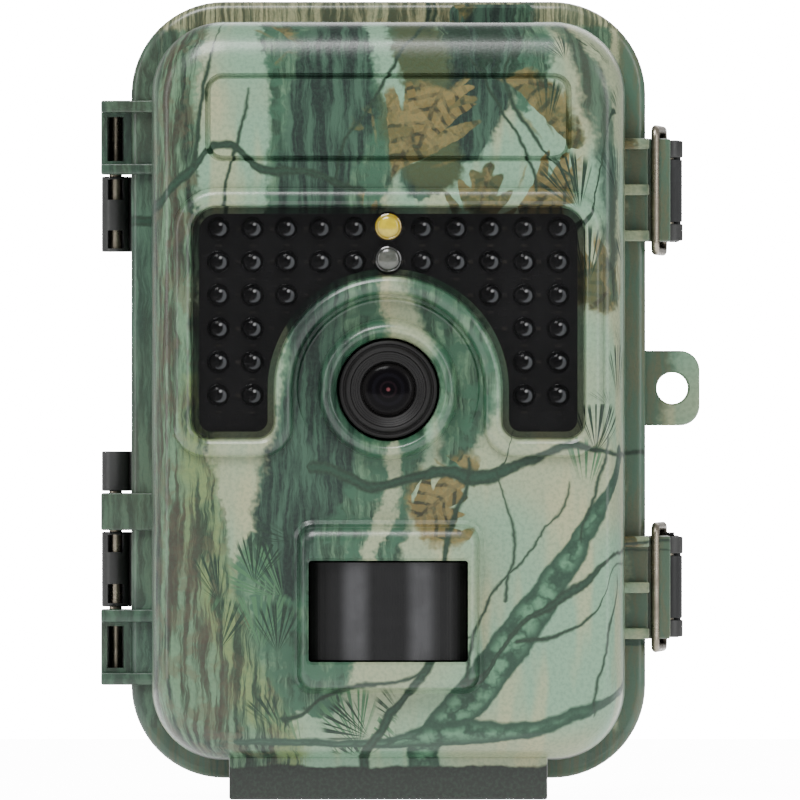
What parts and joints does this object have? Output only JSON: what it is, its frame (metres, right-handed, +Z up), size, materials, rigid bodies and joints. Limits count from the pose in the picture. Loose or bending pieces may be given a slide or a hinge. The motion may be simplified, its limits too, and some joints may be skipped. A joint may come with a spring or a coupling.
{
  "type": "trail camera",
  "caption": "Weatherproof wildlife camera in a two-part case: lens under an infrared LED window, bowed motion-sensor lens, side latches, book hinge, padlock tab and tree strap bars.",
  "frame": {"origin": "on the underside of the front foot, on the lens axis plane x = 0, at the plane it stands on", "axes": "+Z up, -Y the way the lens looks, +X to the right seen from the front"},
  "size_m": [0.1031, 0.072, 0.1368],
  "materials": {
    "camouflage_print": "plastic under a printed woodland film: pale sage ground, green bark, olive leaves, semi-matt",
    "black_plastic": "moulded black plastic with a fine grain",
    "dark_grey_plastic": "moulded dark grey plastic, satin",
    "smoked_window": "glossy black infrared-passing acrylic",
    "circuit_board": "green solder mask on glass-epoxy board",
    "yellow_indicator": "yellow translucent resin dome",
    "clear_dome": "water-clear resin dome",
    "coated_glass": "dark coated lens glass",
    "filter_glass": "infrared cut filter glass with a red cast",
    "fresnel_plastic": "dark grey infrared-passing polyethylene, satin",
    "display_glass": "clear window over a dark display",
    "steel": "drawn stainless steel wire and pins",
    "nickel_plate": "nickel plated sheet",
    "brass": "turned brass",
    "rubber": "soft black rubber",
    "key_rubber": "grey silicone keys",
    "card_plastic": "dark blue moulded card",
    "cell_sleeve": "plain printed shrink sleeve"
  },
  "bodies": {
    "rear_half": {"rear_housing": "black_plastic", "case_gasket": "rubber", "battery_holder": "dark_grey_plastic", "battery_contact_1": "nickel_plate", "battery_contact_2": "nickel_plate", "battery_contact_3": "nickel_plate", "battery_contact_4": "nickel_plate", "cell_1": "cell_sleeve", "cell_2": "cell_sleeve", "cell_3": "cell_sleeve", "cell_4": "cell_sleeve", "cell_5": "cell_sleeve", "cell_6": "cell_sleeve", "cell_7": "cell_sleeve", "cell_8": "cell_sleeve", "hinge_pin_upper": "steel", "hinge_pin_lower": "steel", "latch_pin_upper": "steel", "latch_pin_lower": "steel", "tripod_insert": "brass", "dc_jack": "dark_grey_plastic"},
    "front_half": {"front_shell": "camouflage_print", "led_window": "smoked_window", "led_board": "circuit_board", "status_led": "yellow_indicator", "light_sensor": "clear_dome", "lens_holder": "black_plastic", "lens_barrel": "dark_grey_plastic", "lens_glass": "coated_glass", "image_sensor_board": "circuit_board", "pir_lens": "fresnel_plastic", "pir_sensor": "nickel_plate", "pir_board": "circuit_board", "main_board": "circuit_board", "inner_panel": "dark_grey_plastic", "lcd_module": "black_plastic", "lcd_window": "display_glass", "sd_socket": "nickel_plate", "microphone": "nickel_plate", "panel_screw_1": "steel", "panel_screw_2": "steel", "panel_screw_3": "steel", "panel_screw_4": "steel"},
    "ir_cut_filter": {"ir_cut_filter": "filter_glass"},
    "power_switch": {"power_switch": "black_plastic"},
    "sd_card": {"sd_card": "card_plastic"},
    "dc_plug": {"dc_plug": "rubber"},
    "button_ok": {"button_ok": "key_rubber"},
    "button_up": {"button_up": "key_rubber"},
    "button_down": {"button_down": "key_rubber"},
    "button_left": {"button_left": "key_rubber"},
    "button_right": {"button_right": "key_rubber"},
    "button_menu": {"button_menu": "key_rubber"},
    "button_shot": {"button_shot": "key_rubber"},
    "latch_lever_upper": {"latch_lever_upper": "dark_grey_plastic"},
    "latch_bail_upper": {"latch_bail_upper": "steel"},
    "latch_lever_lower": {"latch_lever_lower": "dark_grey_plastic"},
    "latch_bail_lower": {"latch_bail_lower": "steel"}
  },
  "joints": [
    {"name": "cover_hinge", "type": "hinge", "parent": "rear_half", "child": "front_half", "pos_m": [-0.047, 0.008, 0.07], "axis": [0, 0, -1], "range_deg": [0, 175]},
    {"name": "upper_latch", "type": "hinge", "parent": "rear_half", "child": "latch_lever_upper", "pos_m": [0.0484, 0.013, 0.1044], "axis": [0, 0, -1], "range_deg": [0, 140]},
    {"name": "upper_bail", "type": "hinge", "parent": "latch_lever_upper", "child": "latch_bail_upper", "pos_m": [0.0475, 0.02, 0.1044], "axis": [0, 0, -1], "range_deg": [-140, 0]},
    {"name": "lower_latch", "type": "hinge", "parent": "rear_half", "child": "latch_lever_lower", "pos_m": [0.0484, 0.013, 0.0361], "axis": [0, 0, -1], "range_deg": [0, 140]},
    {"name": "lower_bail", "type": "hinge", "parent": "latch_lever_lower", "child": "latch_bail_lower", "pos_m": [0.0475, 0.02, 0.0361], "axis": [0, 0, -1], "range_deg": [-140, 0]},
    {"name": "button_ok_press", "type": "slide", "parent": "front_half", "child": "button_ok", "axis": [0, -1, 0], "range_m": [0, 0.0006], "stiffness_N_per_m": 400, "springref_m": -0.0003},
    {"name": "button_up_press", "type": "slide", "parent": "front_half", "child": "button_up", "axis": [0, -1, 0], "range_m": [0, 0.0006], "stiffness_N_per_m": 400, "springref_m": -0.0003},
    {"name": "button_down_press", "type": "slide", "parent": "front_half", "child": "button_down", "axis": [0, -1, 0], "range_m": [0, 0.0006], "stiffness_N_per_m": 400, "springref_m": -0.0003},
    {"name": "button_left_press", "type": "slide", "parent": "front_half", "child": "button_left", "axis": [0, -1, 0], "range_m": [0, 0.0006], "stiffness_N_per_m": 400, "springref_m": -0.0003},
    {"name": "button_right_press", "type": "slide", "parent": "front_half", "child": "button_right", "axis": [0, -1, 0], "range_m": [0, 0.0006], "stiffness_N_per_m": 400, "springref_m": -0.0003},
    {"name": "button_menu_press", "type": "slide", "parent": "front_half", "child": "button_menu", "axis": [0, -1, 0], "range_m": [0, 0.0006], "stiffness_N_per_m": 400, "springref_m": -0.0003},
    {"name": "button_shot_press", "type": "slide", "parent": "front_half", "child": "button_shot", "axis": [0, -1, 0], "range_m": [0, 0.0006], "stiffness_N_per_m": 400, "springref_m": -0.0003},
    {"name": "power_switch_slide", "type": "slide", "parent": "front_half", "child": "power_switch", "axis": [1, 0, 0], "range_m": [0, 0.007]},
    {"name": "sd_card_push", "type": "slide", "parent": "front_half", "child": "sd_card", "axis": [0, 0, -1], "range_m": [0, 0.0013], "stiffness_N_per_m": 200, "springref_m": -0.001},
    {"name": "ir_filter_slide", "type": "slide", "parent": "front_half", "child": "ir_cut_filter", "axis": [1, 0, 0], "range_m": [0, 0.009]},
    {"name": "dc_plug_pull", "type": "slide", "parent": "rear_half", "child": "dc_plug", "axis": [1, 0, 0], "range_m": [0, 0.007]}
  ],
  "couplings": [
    {"joint": "upper_bail", "follows": "upper_latch", "ratio": -1},
    {"joint": "lower_bail", "follows": "lower_latch", "ratio": -1}
  ]
}
